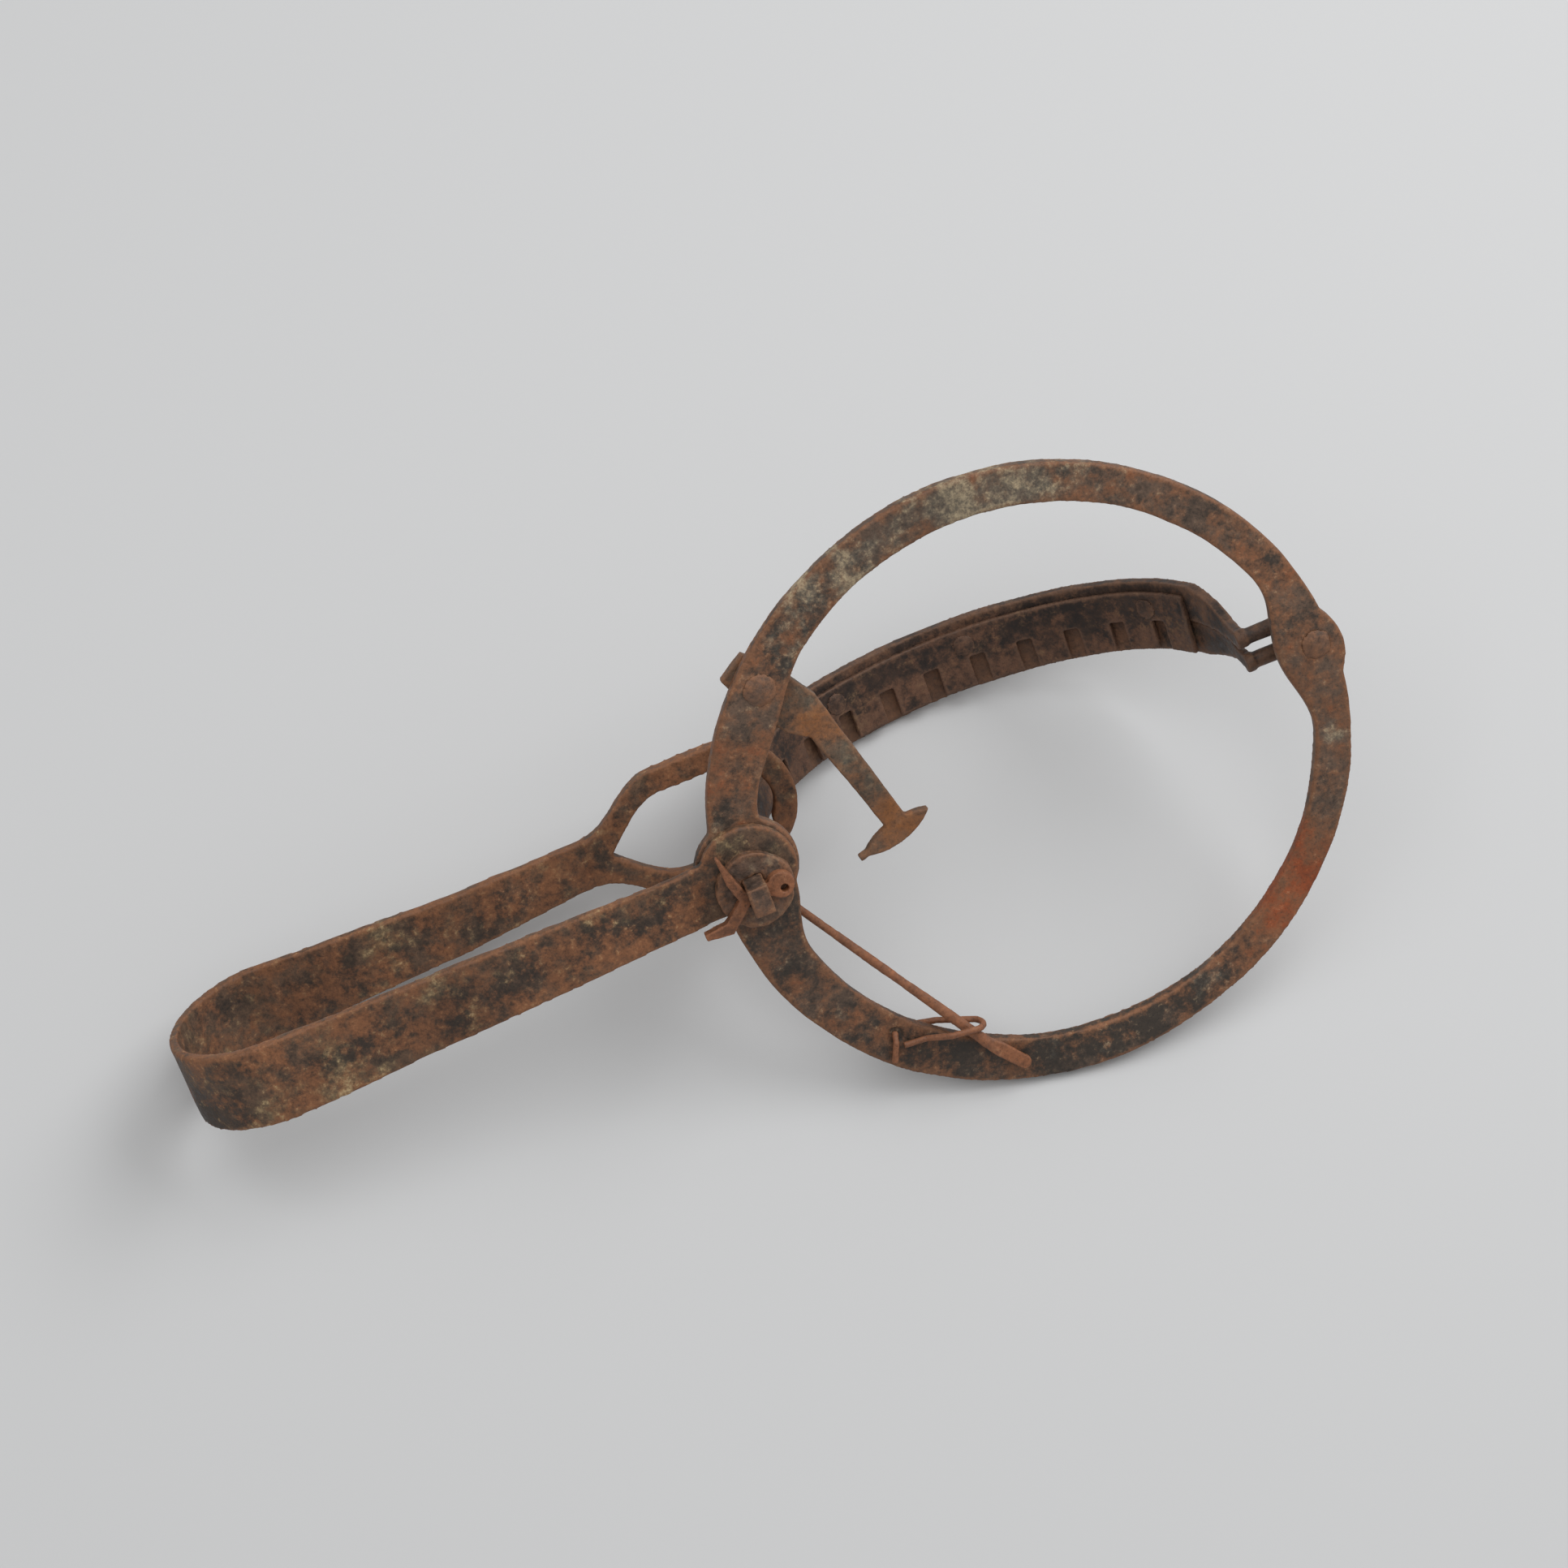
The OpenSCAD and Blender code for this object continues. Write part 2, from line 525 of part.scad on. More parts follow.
mid_x = (max(far_edge) + min(bend_edge)) / 2;
mid_y = (min(dog_side) + max(back_side)) / 2;

// The closed trap set down on the floor, in the middle of its plan.
module as_it_lies() {
    translate([-mid_x, -mid_y, -floor_z])
        rotate([lie_x, lie_y, 0])
            children();
}

// Flat bar bent to a ring, swelled to a boss at each post and broad between near post and pan arm.
module base_ring() color("#4a3a30")
    difference() {
        union() {
            difference() {
                union() {
                    for (c = rim_c)
                        translate([c[0], c[1], 0])
                            cylinder(h = ring_t, r = ring_out, $fn = 160);
                    translate([post_x - far_boss_in, far_boss_off, 0])
                        cylinder(h = ring_t, r = far_boss_r);
                }
                translate([0, 0, -past])
                    linear_extrude(height = ring_t + 2 * past)
                        polygon(inner_rim);
            }
            translate([-post_x, -near_boss_off, 0])
                cylinder(h = ring_t, r = near_boss_r);
        }
        near_tenon(fit, -past, ring_t + past);
        translate([post_x, 0, -past])
            cylinder(h = ring_t + 2 * past, d = far_tenon_d + 2 * fit);
        translate([arm_rivet[0], arm_rivet[1], -past])
            cylinder(h = ring_t + 2 * past, d = arm_rivet_d + 2 * fit);
        translate([wire_hole[0], wire_hole[1], -past])
            cylinder(h = ring_t + 2 * past, d = hole_d);
    }

// The flat tenon's block between two heights, grown by a clearance.
module near_tenon(grow, z0, z1)
    translate([-post_x - tenon_t / 2 - grow, tenon_off - tenon_w / 2 - grow, z0])
        cube([tenon_t + 2 * grow, tenon_w + 2 * grow, z1 - z0]);

// An upright plate with two round shoulders and a bore for each jaw pin.
module post_plate(x)
    difference() {
        union() {
            translate([x - post_t / 2, -post_w / 2, ring_t])
                cube([post_t, post_w, pivot_z - ring_t]);
            translate([x - post_t / 2, -pivot_gap / 2, ring_t])
                cube([post_t, pivot_gap, pivot_z + post_round - ring_t]);
            for (s = [-1, 1])
                translate([x - post_t / 2, s * pivot_gap / 2, pivot_z])
                    rotate([0, 90, 0])
                        cylinder(h = post_t, r = post_round);
        }
        for (s = [-1, 1])
            translate([x - post_t / 2 - past, s * pivot_gap / 2, pivot_z])
                rotate([0, 90, 0])
                    cylinder(h = post_t + 2 * past, r = hole_r);
    }

// Post at the spring's end: its flat tenon goes through ring, spring and washer.
module near_post() color("#54402f")
    difference() {
        union() {
            post_plate(-post_x);
            near_tenon(0, tenon_end, ring_t);
        }
        translate([-post_x - tenon_t, tenon_off - slot_b / 2, cotter_z - slot_h / 2])
            cube([2 * tenon_t, slot_b, slot_h]);
    }

// Post at the far end: a round tenon hammered to a low head under the ring.
module far_post() color("#54402f") {
    post_plate(post_x);
    translate([post_x, 0, 0])
        cylinder(h = ring_t, d = far_tenon_d);
    low_head(post_x, 0, 0, far_head_d, far_head_h);
}

// A low domed head standing on z, turned downwards.
module low_head(x, y, z, d, h) {
    r = (d * d / 4 + h * h) / (2 * h);
    translate([x, y, z])
        intersection() {
            translate([0, 0, r - h])
                sphere(r = r, $fn = 96);
            translate([0, 0, -h - past])
                cylinder(h = h + past, d = d + past);
        }
}

// A plan in the upright plane through the jaw axis, drawn out between two depths.
module upright(plan, y0, y1)
    translate([0, y1, 0])
        rotate([90, 0, 0])
            linear_extrude(height = y1 - y0)
                polygon(plan);

// A jaw's whole arch: one bent band, two narrow legs and their pins.
module jaw(t, y0, y1, py) {
    difference() {
        upright(band_plan(band_far, band_near, 0, t), y0, y1);
        rotate([90, 0, 90])
            linear_extrude(height = leg_far_x + past)
                polygon(taper_plan(py > 0 ? y1 : y0, py > 0 ? 1 : -1));
    }
    for (plan = [[[leg_far_x, pivot_z], on_flats(band_far, 0), on_flats(band_far, t),
            [leg_far_x - t, pivot_z]],
        [[leg_near_x, pivot_z], [leg_near_x, near_c[1]], on_flats(band_near, 0), on_flats(band_near, t),
            [leg_near_x + t, near_c[1]], [leg_near_x + t, pivot_z]]])
        upright(plan, py - leg_w / 2, py + leg_w / 2);
    for (x = [leg_far_x - t, leg_near_x])
        translate([x, py, pivot_z])
            rotate([0, 90, 0])
                cylinder(h = t, d = leg_end_d);
    translate([leg_far_x - t / 2, py, pivot_z])
        rotate([0, 90, 0])
            cylinder(h = t / 2 + far_leg_gap + post_t + pin_out, d = pin_d);
    translate([-post_x - post_t / 2 - pin_out, py, pivot_z])
        rotate([0, 90, 0])
            cylinder(h = pin_out + post_t + near_leg_gap + t / 2, d = pin_d);
}

// Jaw that carries the toothed strip, drilled for the strip's rivets.
module jaw_upper() color("#4d3d33")
    difference() {
        jaw(jaw_a_t, -jaw_gap / 2 - jaw_a_w, -jaw_gap / 2, -pivot_gap / 2);
        for (s = rivet_places)
            at_strip(s)
                translate([-past, rivet_y, 0])
                    rotate([0, 90, 0])
                        cylinder(h = jaw_a_t + 2 * past, d = strip_rivet_d + 2 * fit);
    }

// Plain jaw on the dog's side.
module jaw_lower() color("#5a4536")
    jaw(jaw_b_t, jaw_gap / 2, jaw_gap / 2 + jaw_b_w, pivot_gap / 2);

// A place on the strip's seat: x then points outwards, z along the strip.
module at_strip(s)
    translate([on_arch(s, jaw_a_t)[0], 0, on_arch(s, jaw_a_t)[1]])
        rotate([0, -seat_a(s), 0])
            children();

// Thin strip inside the upper jaw, its square teeth lapping inside the lower jaw.
module tooth_strip() color("#3b2f2a")
    difference() {
        union() {
            upright(band_plan(-strip_far, strip_near, jaw_a_t, jaw_a_t + strip_t), strip_back, strip_root);
            for (i = [0:tooth_n - 1])
                let (s = -strip_far + tooth_first + i * tooth_pitch)
                    upright(band_plan(s, s + tooth_w, jaw_a_t, jaw_a_t + strip_t),
                        strip_root - touch, strip_root + tooth_l);
        }
        for (s = rivet_places)
            at_strip(s)
                translate([-strip_t - past, rivet_y, 0])
                    rotate([0, 90, 0])
                        cylinder(h = strip_t + 2 * past, d = strip_rivet_d + 2 * fit);
    }

// Rivets that hold the strip, a low head inside and a hammered end outside.
module strip_rivets() color("#44362e")
    for (s = rivet_places)
        at_strip(s)
            translate([0, rivet_y, 0])
                rotate([0, 90, 0]) {
                    translate([0, 0, -strip_t])
                        cylinder(h = strip_t + jaw_a_t, d = strip_rivet_d);
                    translate([0, 0, -strip_t - head_seat])
                        low_head(0, 0, 0, strip_head_d, strip_head_h);
                    translate([0, 0, -strip_t - head_seat - touch])
                        cylinder(h = head_seat + 2 * touch, d = strip_rivet_d);
                }

// Strap from the disc on the ring's underside along the floor side and round the bend.
module spring_lower_leaf() color("#503f33")
    difference() {
        union() {
            translate([-post_x, -near_boss_off, -strap_t])
                cylinder(h = strap_t, r = disc_r);
            intersection() {
                rotate([90, 0, 0])
                    linear_extrude(height = 2 * bend_w, center = true)
                        polygon(lower_side);
                translate([0, 0, -4 * bend_r])
                    linear_extrude(height = 8 * bend_r)
                        polygon(lower_plan);
            }
        }
        near_tenon(fit, -strap_t - past, past);
    }

// Strap from the bend back to the forged eye that grips the closed jaws.
module spring_upper_leaf() color("#503f33") {
    intersection() {
        rotate([90, 0, 0])
            linear_extrude(height = 2 * bend_w, center = true)
                polygon(upper_side);
        linear_extrude(height = 4 * bend_r)
            polygon(upper_plan);
    }
    difference() {
        union() {
            translate([eye_c, 0, eye_z - eye_t / 2])
                cylinder(h = eye_t, r = eye_r, $fn = 96);
            translate([0, 0, eye_z - eye_t / 2])
                linear_extrude(height = eye_t)
                    polygon(eye_plan);
        }
        translate([eye_c, 0, eye_z - eye_t])
            cylinder(h = 2 * eye_t, r = eye_in, $fn = 96);
        translate([0, 0, eye_z - eye_t])
            linear_extrude(height = 2 * eye_t)
                polygon(crotch_plan);
    }
}

// Flat washer between spring disc and cotter.
module spring_washer() color("#5d4738")
    difference() {
        translate([-post_x, tenon_off, washer_z])
            cylinder(h = washer_t, r = washer_r);
        near_tenon(fit, washer_z - past, -strap_t + past);
    }

// Split cotter: a curl on the jaws' side of the tenon, a kneed leg and a turned one on the spring's side.
module cotter() color("#8a5236")
    translate([-post_x, tenon_off, cotter_z - cotter_b / 2])
        difference() {
            linear_extrude(height = cotter_b)
                polygon(cotter_plan);
            translate([curl_c[0] + curl_hole_at[0], curl_hole_at[1], -past])
                cylinder(h = cotter_b + 2 * past, r = curl_hole);
        }

// Flat arm riveted under the jaws, bent at its elbow, ending in a pointed crossbar.
module pan_arm() color("#5a4838")
    difference() {
        union() {
            translate([0, 0, arm_z])
                linear_extrude(height = arm_t)
                    polygon(arm_plan);
            translate([bar_at[0], bar_at[1], arm_z + arm_t / 2])
                rotate([0, 90, arm_dir2 + 90])
                    translate([0, 0, bar_l / 2 - 1.5 * nub_d])
                        cylinder(h = 2 * nub_d, d = nub_d);
        }
        translate([arm_rivet[0], arm_rivet[1], arm_z - past])
            cylinder(h = arm_t + 2 * past, d = arm_rivet_d + 2 * fit);
    }

// Rivet through ring and pan arm, with a low head on each side.
module pan_arm_rivet() color("#61503f") {
    translate([arm_rivet[0], arm_rivet[1], 0])
        cylinder(h = ring_t + arm_t, d = arm_rivet_d);
    low_head(arm_rivet[0], arm_rivet[1], 0, arm_head_d, arm_head_h);
    translate([0, 0, ring_t + arm_t])
        mirror([0, 0, 1])
            low_head(arm_rivet[0], arm_rivet[1], 0, arm_head_d, arm_head_h);
}

// Loose trigger rod: a hammered flat end, then a tapered rod to its point.
module dog_rod() color("#6b4632")
    translate([dog_start[0], dog_start[1], tail_z]) {
        rotate([0, 0, dog_dir + dog_turn])
            translate([0, 0, -dog_flat_t / 2])
                linear_extrude(height = dog_flat_t)
                    polygon(flat_plan);
        rotate([0, 90 - dog_rise, dog_dir]) {
            cylinder(h = dog_l, d1 = dog_d, d2 = dog_tip_d);
            translate([0, 0, -flat_run])
                cylinder(h = flat_run + fit, d1 = dog_flat_t - 2 * fit, d2 = dog_d - 2 * fit);
        }
    }

// Tie wire: from a stub on the underside through the hole, behind the bar, round the rod
// and back over the bar's face.
module dog_link() color("#80503a")
    tube(link_route, wire_r, 8);

// A closed tube of n sides along a route's points.
module tube(p, r, n) {
    last = len(p) - 1;
    dirs = [for (i = [0:last]) unit(p[min(i + 1, last)] - p[max(i - 1, 0)])];
    frames = frames_along(dirs, 1, [unit(cross(dirs[0], [0.31, 0.2, 0.93]))]);
    pts = [for (i = [0:last]) for (k = [0:n - 1])
        p[i] + r * (cos(360 * k / n) * frames[i] + sin(360 * k / n) * cross(dirs[i], frames[i]))];
    sides = [for (i = [0:last - 1]) for (k = [0:n - 1]) let (j = (k + 1) % n)
        each [[i * n + k, (i + 1) * n + j, i * n + j], [i * n + k, (i + 1) * n + k, (i + 1) * n + j]]];
    caps = [[for (k = [0:n - 1]) k], [for (k = [0:n - 1]) last * n + n - 1 - k]];
    polyhedron(points = pts, faces = concat(sides, caps));
}
function frames_along(dirs, i, done) = i >= len(dirs) ? done
    : frames_along(dirs, i + 1, concat(done, [unit(done[i - 1] - (done[i - 1] * dirs[i]) * dirs[i])]));

as_it_lies() base_ring();
as_it_lies() near_post();
as_it_lies() far_post();
as_it_lies() jaw_upper();
as_it_lies() jaw_lower();
as_it_lies() tooth_strip();
as_it_lies() strip_rivets();
as_it_lies() spring_lower_leaf();
as_it_lies() spring_upper_leaf();
as_it_lies() spring_washer();
as_it_lies() cotter();
as_it_lies() pan_arm();
as_it_lies() pan_arm_rivet();
as_it_lies() dog_rod();
as_it_lies() dog_link();
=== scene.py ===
import json
import math

import bpy
import numpy
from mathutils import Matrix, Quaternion, Vector


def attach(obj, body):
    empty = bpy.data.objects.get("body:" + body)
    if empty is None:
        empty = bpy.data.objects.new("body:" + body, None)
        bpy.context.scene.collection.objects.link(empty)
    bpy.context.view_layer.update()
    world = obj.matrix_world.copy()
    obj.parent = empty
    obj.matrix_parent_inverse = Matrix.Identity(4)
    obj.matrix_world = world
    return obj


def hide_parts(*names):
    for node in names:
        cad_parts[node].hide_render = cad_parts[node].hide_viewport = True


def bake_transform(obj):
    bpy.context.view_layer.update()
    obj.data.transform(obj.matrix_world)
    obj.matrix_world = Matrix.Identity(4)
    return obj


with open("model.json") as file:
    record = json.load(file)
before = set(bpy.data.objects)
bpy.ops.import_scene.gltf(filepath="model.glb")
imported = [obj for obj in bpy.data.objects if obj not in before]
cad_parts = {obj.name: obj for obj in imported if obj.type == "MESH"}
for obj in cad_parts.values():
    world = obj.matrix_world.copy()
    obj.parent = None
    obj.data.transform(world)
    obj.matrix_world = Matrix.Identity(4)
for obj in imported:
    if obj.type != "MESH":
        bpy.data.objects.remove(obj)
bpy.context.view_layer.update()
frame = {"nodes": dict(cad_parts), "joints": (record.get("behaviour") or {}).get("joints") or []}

# The ring: a flat bar of wrought iron, bent hot to a circle, welded, and swelled out at both posts.
# It is the trap's frame, and posts, spring and pan arm are fixed to it. The hammer left shallow dents
# and flats on it. Old brown rust covers it, greyer in patches, and has packed the tie wire's hole.
MM = 0.001  # sizes are written in millimetres, and Blender's are in metres
PIVOT_HEIGHT = 19
RING_RADIUS = 117.5
RING_OFFSET = 9
RING_THICKNESS = 5.5
WIRE_HOLE = 7
WIRE_HOLE_ANGLE = 137.5
PACKED_RUST = 3

hinge = {joint["name"]: joint for joint in frame["joints"]}
along = Vector(hinge["jaw_upper_open"]["axis"]).normalized()
across = Vector(hinge["spring_press"]["axis"]).normalized()
upright = along.cross(across)
pivots = [Vector(hinge[name]["pos_m"]) for name in ("jaw_upper_open", "jaw_lower_open")]
trap_origin = (pivots[0] + pivots[1]) / 2 - PIVOT_HEIGHT * MM * upright


def on_trap(x, y, z):
    """A place in millimetres: along the jaws' axis, across to the dog's side, up from the ring."""
    return trap_origin + MM * (x * along + y * across + z * upright)


def on_ring(angle):
    """A place on the ring's bar, by its angle in degrees from the far end towards the dog's side."""
    turn = math.radians(angle)
    return on_trap(RING_RADIUS * math.cos(turn), RING_OFFSET + RING_RADIUS * math.sin(turn), 0)


MERGE_REACH = 0.002


def take_copy(name, nodes):
    """The named solids as one new mesh with merged corners."""
    bpy.ops.object.select_all(action="DESELECT")
    copies = []
    for node in nodes:
        copy = bpy.data.objects.new(name, frame["nodes"][node].data.copy())
        bpy.context.scene.collection.objects.link(copy)
        copy.data.materials.clear()
        copy.select_set(True)
        copies.append(copy)
    bpy.context.view_layer.objects.active = copies[0]
    if len(copies) > 1:
        bpy.ops.object.join()
    piece = bpy.context.view_layer.objects.active
    bpy.ops.object.mode_set(mode="EDIT")
    bpy.ops.mesh.select_all(action="SELECT")
    bpy.ops.mesh.remove_doubles(threshold=MERGE_REACH * MM)
    bpy.ops.object.mode_set(mode="OBJECT")
    return piece


def finish_with(piece, kind, **settings):
    """One modifier, set and applied."""
    bpy.ops.object.select_all(action="DESELECT")
    piece.select_set(True)
    bpy.context.view_layer.objects.active = piece
    modifier = piece.modifiers.new(kind.lower(), kind)
    for key, value in settings.items():
        setattr(modifier, key, value)
    bpy.ops.object.modifier_apply(modifier=modifier.name)


def corners_of(piece, kind="vertices", part="co"):
    """The places, or the normals, of all a mesh's corners as rows of x, y and z."""
    rows = numpy.empty(len(piece.data.vertices) * 3)
    getattr(piece.data, kind).foreach_get(part, rows)
    return rows.reshape(-1, 3)


SMOOTHING = 0.5
EDGE_BAND = 3
EDGE_HEIGHT = 0.5


def forge(piece, grain, wear, marks):
    """Skins a piece in cells of one grain, wears its edges, then dents it by each mark's size and depth.

    How far each corner stands out from a softened copy stays on the mesh, for the rust on worn edges to
    follow, and for painted highlight on edges and painted shade in hollows.
    """
    finish_with(piece, "REMESH", mode="VOXEL", voxel_size=grain * MM)
    finish_with(piece, "SMOOTH", factor=SMOOTHING, iterations=wear)
    for kind, size, depth in marks:
        mark = bpy.data.textures.new(f"{piece.name}_{kind.lower()}", kind)
        mark.noise_scale = size * MM
        finish_with(piece, "DISPLACE", texture=mark, strength=depth * MM, mid_level=0.5)
    softened = piece.copy()
    softened.data = piece.data.copy()
    bpy.context.scene.collection.objects.link(softened)
    finish_with(softened, "SMOOTH", factor=SMOOTHING, iterations=round(EDGE_BAND / grain) ** 2)
    normals = corners_of(piece, "vertex_normals", "vector")
    stands_out = ((corners_of(piece) - corners_of(softened)) * normals).sum(1)
    bpy.data.objects.remove(softened)
    wear_and_painted_light = piece.data.attributes.new("edge_wear_and_painted_light", "FLOAT", "POINT")
    wear_and_painted_light.data.foreach_set("value", numpy.clip(stands_out / (EDGE_HEIGHT * MM), -1, 1))
    bpy.ops.object.select_all(action="DESELECT")
    piece.select_set(True)
    bpy.context.view_layer.objects.active = piece
    bpy.ops.object.shade_smooth()
    return piece


def linear(colour):
    """An sRGB hex colour as linear light, with full alpha."""
    parts = [int(colour[i:i + 2], 16) / 255 for i in (1, 3, 5)]
    return [p / 12.92 if p <= 0.04045 else ((p + 0.055) / 1.055) ** 2.4 for p in parts] + [1]


def add(tree, kind, inputs, **settings):
    """One shader node with its settings, its values and its links."""
    node = tree.nodes.new("ShaderNode" + kind)
    for key, value in settings.items():
        setattr(node, key, value)
    for key, value in inputs.items():
        if isinstance(value, bpy.types.NodeSocket):
            tree.links.new(value, node.inputs[key])
        else:
            node.inputs[key].default_value = value
    return node.outputs


# A layer with no share lies only where its pattern reaches the bare level, and a full share lowers that
# level by the full drop. Its rim is as wide as its softness, up and down.
NOISE_ROUGHNESS = 0.68
NOISE_MIDDLE = 0.5
BARE_LEVEL = 0.72
FULL_DROP = 0.44
SOFTNESS = 0.14
EDGE_RUST_AND_PAINTED_LIGHT = 0.5
PIT_SHARE = 0.5
GRIT_HEIGHT = 0.5


def rusted_iron(name, dark, layers, places=()):
    """Old forged iron: dark scale under layers of rust, each with its pattern, colour, share and strength.

    The patterns' sizes are those of the real crust: drifts of 45 mm, patches of 12 to 18 mm, flecks of
    2.6 mm and pits of 1 mm. The flecks roughen the patches' rims, and worn edges add to the rust.
    The edges' lighter coat is partly rust and partly painted highlight, and hollows get painted shade.
    A place is a point, its reach in millimetres, a pattern and how much more of it lies there.
    """
    material = bpy.data.materials.new(name)
    material.use_nodes = True
    tree = material.node_tree
    tree.nodes.clear()
    spot = add(tree, "TexCoord", {})["Object"]
    pattern = {}
    for part, size, detail, seed in (("drift", 45, 2, 3), ("scale", 18, 7, 11), ("rust", 12, 7, 19),
                                     ("bloom", 14, 7, 27), ("fleck", 2.6, 5, 35), ("pit", 1, 1, 43)):
        pattern[part] = add(tree, "TexNoise",
                            {"Vector": spot, "W": seed, "Scale": 1 / (size * MM), "Detail": detail,
                             "Roughness": NOISE_ROUGHNESS}, noise_dimensions="4D")["Fac"]
    for point, reach, part, more in places:
        away = add(tree, "VectorMath", {0: spot, 1: point}, operation="DISTANCE")["Value"]
        near = add(tree, "MapRange", {"Value": away, "From Min": reach * MM, "From Max": 0, "To Max": more},
                   interpolation_type="SMOOTHSTEP")["Result"]
        pattern[part] = add(tree, "Math", {0: pattern[part], 1: near}, operation="ADD")["Value"]
    wear_and_painted_light = add(tree, "Attribute", {}, attribute_name="edge_wear_and_painted_light")["Fac"]
    grain = add(tree, "Math", {0: pattern["fleck"], 1: NOISE_MIDDLE}, operation="SUBTRACT")["Value"]
    for part, source, roughening in (("scale", "scale", 0.35), ("rust", "rust", 0.35),
                                     ("crust", "bloom", 0.7)):
        pattern[part] = add(tree, "Math", {0: grain, 1: roughening, 2: pattern[source]},
                            operation="MULTIPLY_ADD")["Value"]
    # Edges that stand out get more of the lighter edge coat and hollows get less: rust on worn edges, with
    # painted highlight and painted shade.
    pattern["edge"] = add(tree, "Math", {0: wear_and_painted_light, 1: EDGE_RUST_AND_PAINTED_LIGHT, 2: pattern["rust"]},
                          operation="MULTIPLY_ADD")["Value"]
    colour = linear(dark)
    for part, coat, share, strength in layers:
        middle = BARE_LEVEL - FULL_DROP * share
        cover = add(tree, "MapRange", {"Value": pattern[part], "From Min": middle - SOFTNESS,
                                       "From Max": middle + SOFTNESS, "To Max": strength},
                    interpolation_type="SMOOTHSTEP")["Result"]
        colour = add(tree, "Mix", {"Factor": cover, "A": colour, "B": linear(coat)},
                     data_type="RGBA")["Result"]
    for part, low, high, least, most in (("drift", 0.3, 0.7, 0.78, 1.18), ("fleck", 0.34, 0.66, 0.7, 1.27),
                                         ("pit", 0.3, 0.44, 0.7, 1)):
        shade = add(tree, "MapRange", {"Value": pattern[part], "From Min": low, "From Max": high,
                                       "To Min": least, "To Max": most})["Result"]
        colour = add(tree, "VectorMath", {0: colour, "Scale": shade}, operation="SCALE")["Vector"]
    grit = add(tree, "Math", {0: pattern["pit"], 1: PIT_SHARE, 2: pattern["fleck"]},
               operation="MULTIPLY_ADD")["Value"]
    normal = add(tree, "Bump", {"Height": grit, "Strength": 0.45, "Distance": GRIT_HEIGHT * MM})["Normal"]
    dull = add(tree, "MapRange", {"Value": pattern["fleck"], "From Min": 0.3, "From Max": 0.7,
                                  "To Min": 0.42, "To Max": 0.85})["Result"]
    surface = add(tree, "BsdfPrincipled", {"Base Color": colour, "Roughness": dull, "Normal": normal,
                                           "Specular IOR Level": 0.45})["BSDF"]
    add(tree, "OutputMaterial", {"Surface": surface})
    return material


def dress(piece, material, body, nodes):
    """Gives a finished piece its material and its place in the trap."""
    piece.data.materials.append(material)
    if body:
        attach(piece, body)
    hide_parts(*nodes)


# Hand-forged wrought iron rusted in the open: matt brown crust over dark scale, grey-green where it dried.
ring_iron = rusted_iron(
    "wrought_iron_brown_rust", "#39312a",
    [("scale", "#645042", 0.58, 1), ("rust", "#774e36", 0.32, 0.85), ("bloom", "#6b665c", 0.1, 0.9),
     ("edge", "#82583c", 0.36, 0.85), ("rust", "#8a3f1a", 0.03, 0.85), ("crust", "#8a7a62", 0.03, 0.6),
     # The palest crust flecks here are painted glints.
     ("crust", "#b3a284", -0.16, 0.8), ("fleck", "#a59274", 0.02, 0.8)],
    [(on_ring(angle), reach, part, more) for angle, reach, part, more in (
        (240, 44, "bloom", 0.12), (258, 46, "bloom", 0.08), (284, 50, "bloom", 0.2),
        # Less scale and rust from 72° to 160° darkens that side of the ring: painted shade, where the light
        # falls off.
        (46, 40, "rust", 0.32), (203, 46, "rust", 0.08), (128, 60, "scale", -0.22),
        (95, 56, "scale", -0.2), (72, 40, "scale", -0.1), (95, 62, "rust", -0.08),
        (160, 50, "scale", -0.07), (236, 40, "scale", -0.16), (14, 9, "bloom", 0.26),
        (274, 44, "scale", 0.18), (272, 34, "bloom", 0.1), (8, 50, "scale", 0.2),
        (180, 52, "rust", -0.1), (180, 44, "scale", -0.06))])
bar = take_copy("forged_ring", ["base_ring"])
# A plug of rust in the tie wire's hole, which the forging below makes one skin with the bar.
bpy.ops.mesh.primitive_cylinder_add(radius=WIRE_HOLE / 2 * MM, depth=PACKED_RUST * MM,
                                    location=on_ring(WIRE_HOLE_ANGLE) + RING_THICKNESS / 2 * MM * upright,
                                    rotation=upright.to_track_quat("Z", "Y").to_euler())
bar.select_set(True)
bpy.context.view_layer.objects.active = bar
bpy.ops.object.join()
ring = forge(bar, grain=0.8, wear=8,
             marks=[("CLOUDS", 40, 1.2), ("VORONOI", 22, -0.4), ("CLOUDS", 3, 0.1)])
dress(ring, ring_iron, "base", ["base_ring"])

# The posts: two iron plates on edge, bored for the jaws' prongs and riveted through the ring.
# The near one ends in a flat tenon through the spring's disc, the far one in a hammered head.
NEAR_POST = -117
NEAR_TENON = on_trap(NEAR_POST, 0, -6)

# Wrought iron, hammered at its heads: even brown rust, lighter on worn edges, partly as painted highlight,
# darker on the near tenon.
post_iron = rusted_iron(
    "forged_iron_post", "#3f332b",
    [("scale", "#664f41", 0.72, 1), ("rust", "#7c5138", 0.38, 0.8), ("bloom", "#6f6557", 0.12, 0.7),
     ("edge", "#80593f", 0.42, 0.8), ("crust", "#8f7d62", 0.06, 0.6)],
    [(NEAR_TENON, 24, "rust", -0.14), (NEAR_TENON, 24, "scale", -0.08)])
for post_node, post_wear in (("near_post", 3), ("far_post", 10)):
    post = forge(take_copy("forged_" + post_node, [post_node]), grain=0.5, wear=post_wear,
                 marks=[("CLOUDS", 9, 0.6), ("CLOUDS", 2.2, 0.2)])
    dress(post, post_iron, "base", [post_node])

